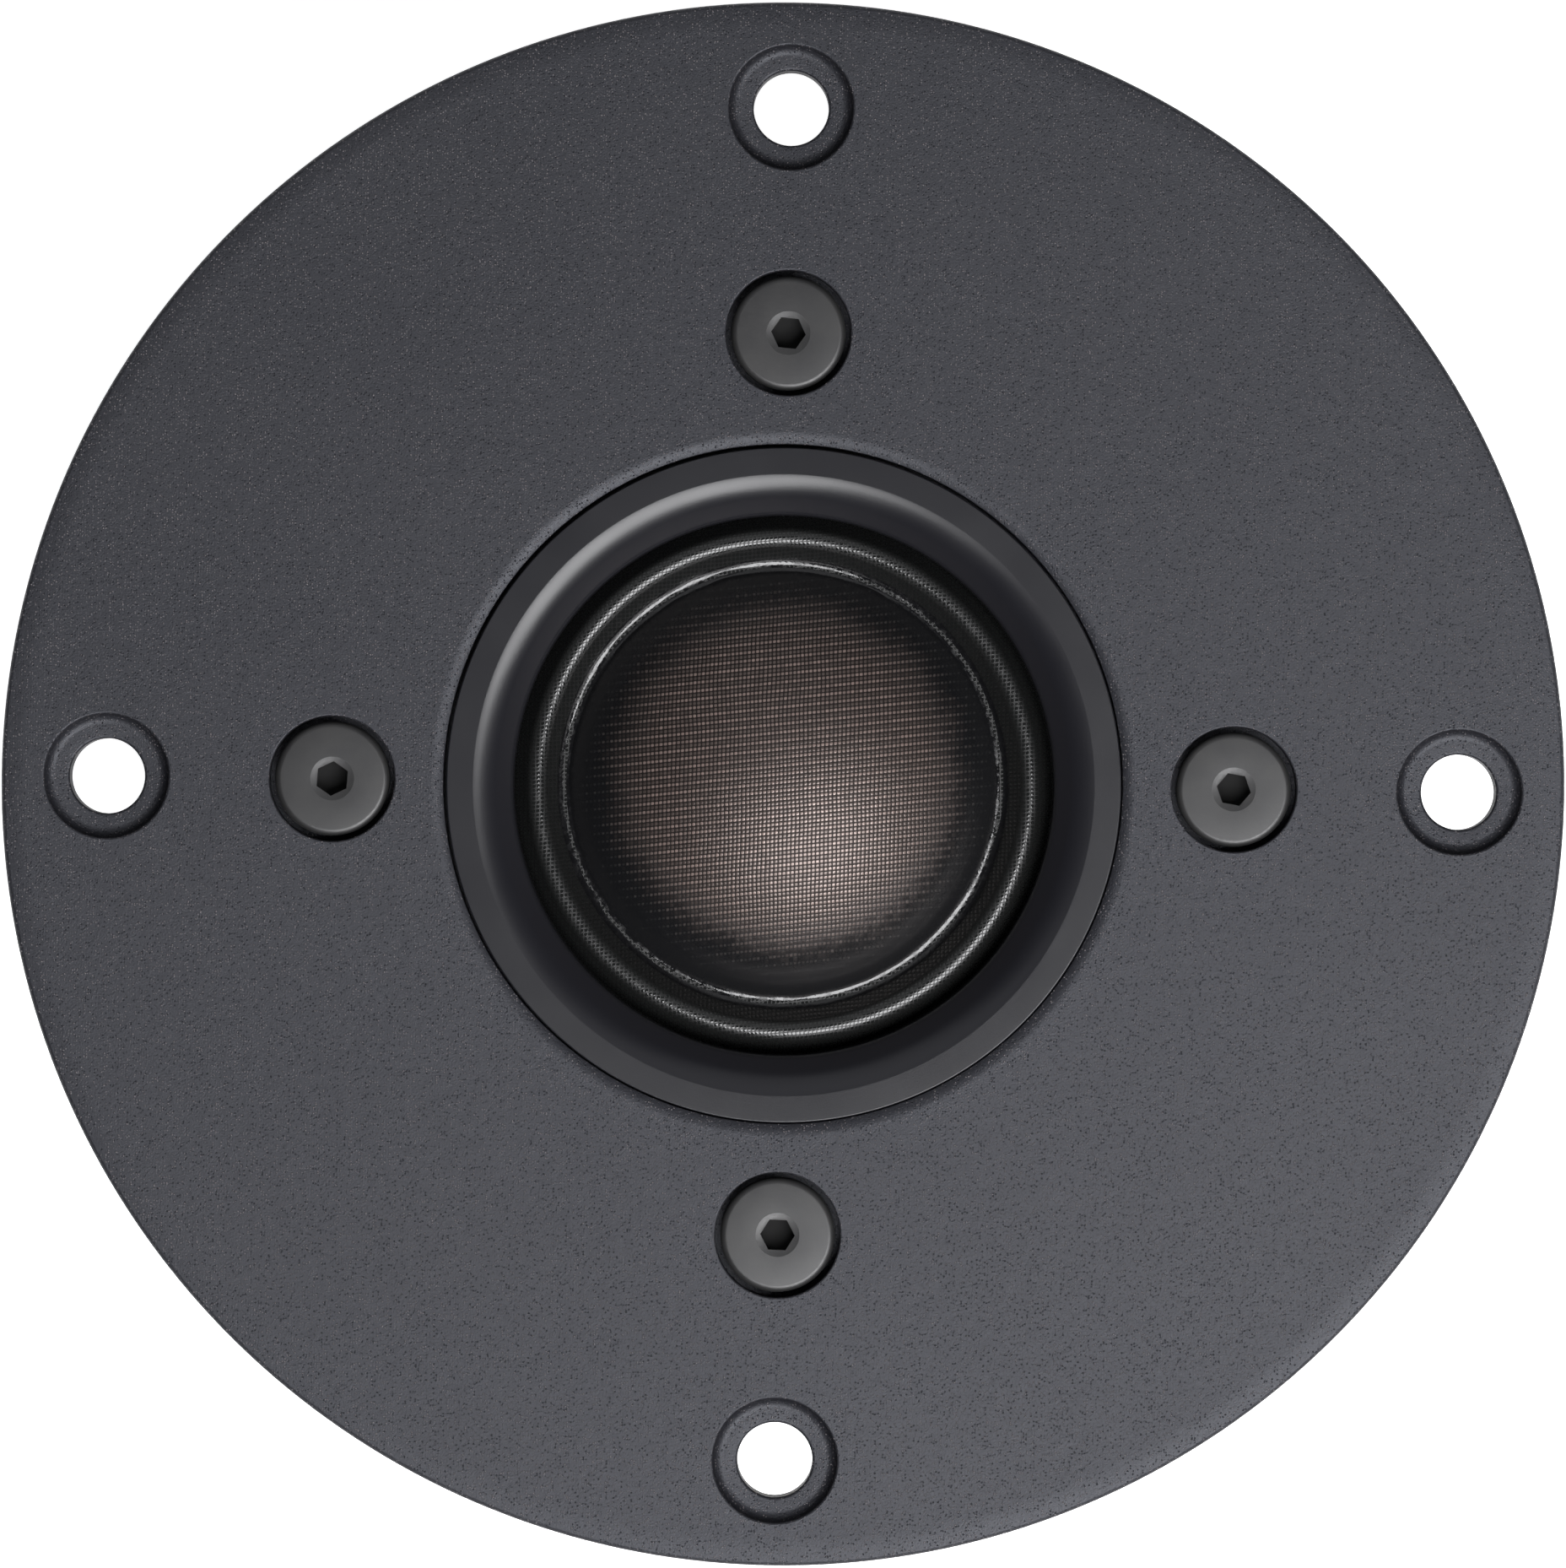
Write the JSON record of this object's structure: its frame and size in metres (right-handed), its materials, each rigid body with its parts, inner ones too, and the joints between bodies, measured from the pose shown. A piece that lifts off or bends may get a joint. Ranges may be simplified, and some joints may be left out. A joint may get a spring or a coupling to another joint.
{
  "type": "car tweeter",
  "caption": "Soft dome tweeter on a round textured flange with counterbored mounting holes, socket screws, a rounded waveguide ring, ring magnet motor, rear cup and blade terminals.",
  "frame": {"origin": "middle of the rear cup's flat back, on the listening axis", "axes": "+Z along the listening axis towards the listener, +Y up as mounted, terminals on the -Y side"},
  "size_m": [0.104, 0.104, 0.0478],
  "materials": {
    "textured_black": "fine textured powder coat",
    "satin_black": "smooth satin",
    "screw_black": "black oxide",
    "dome_cloth": "coated woven cloth",
    "surround_cloth": "coated woven cloth",
    "former_film": "heat-resistant film",
    "copper": "bare copper",
    "zinc_steel": "zinc plated",
    "ferrite": "ground and matt",
    "moulded_black": "fine spark-eroded mould texture",
    "felt": "wool felt",
    "foam": "closed-cell foam",
    "brass": "plain brass"
  },
  "bodies": {
    "motor": {"faceplate": "textured_black", "waveguide_ring": "satin_black", "carrier_ring": "moulded_black", "surround": "surround_cloth", "top_plate": "zinc_steel", "magnet": "ferrite", "yoke": "zinc_steel", "copper_cap": "copper", "pole_felt": "felt", "vent_foam": "foam", "locating_pin_1": "zinc_steel", "locating_pin_2": "zinc_steel", "rear_cup": "moulded_black", "cup_gasket": "foam", "cup_felt": "felt", "flange_gasket": "foam", "faceplate_screw_1": "screw_black", "faceplate_screw_2": "screw_black", "faceplate_screw_3": "screw_black", "faceplate_screw_4": "screw_black", "cup_screw_1": "zinc_steel", "cup_screw_2": "zinc_steel", "cup_screw_3": "zinc_steel", "cup_screw_4": "zinc_steel", "terminal_block": "moulded_black", "terminal_wide": "brass", "terminal_narrow": "brass", "terminal_screw_1": "zinc_steel", "terminal_screw_2": "zinc_steel", "lead_positive": "copper", "lead_negative": "copper"},
    "diaphragm": {"dome": "dome_cloth", "coil_former": "former_film", "coil_winding": "copper"}
  },
  "joints": [
    {"name": "dome_excursion", "type": "slide", "parent": "motor", "child": "diaphragm", "axis": [0, 0, 1], "range_m": [-0.0005, 0.0005], "stiffness_N_per_m": 5000, "deforming": ["surround", "lead_positive", "lead_negative"]}
  ]
}
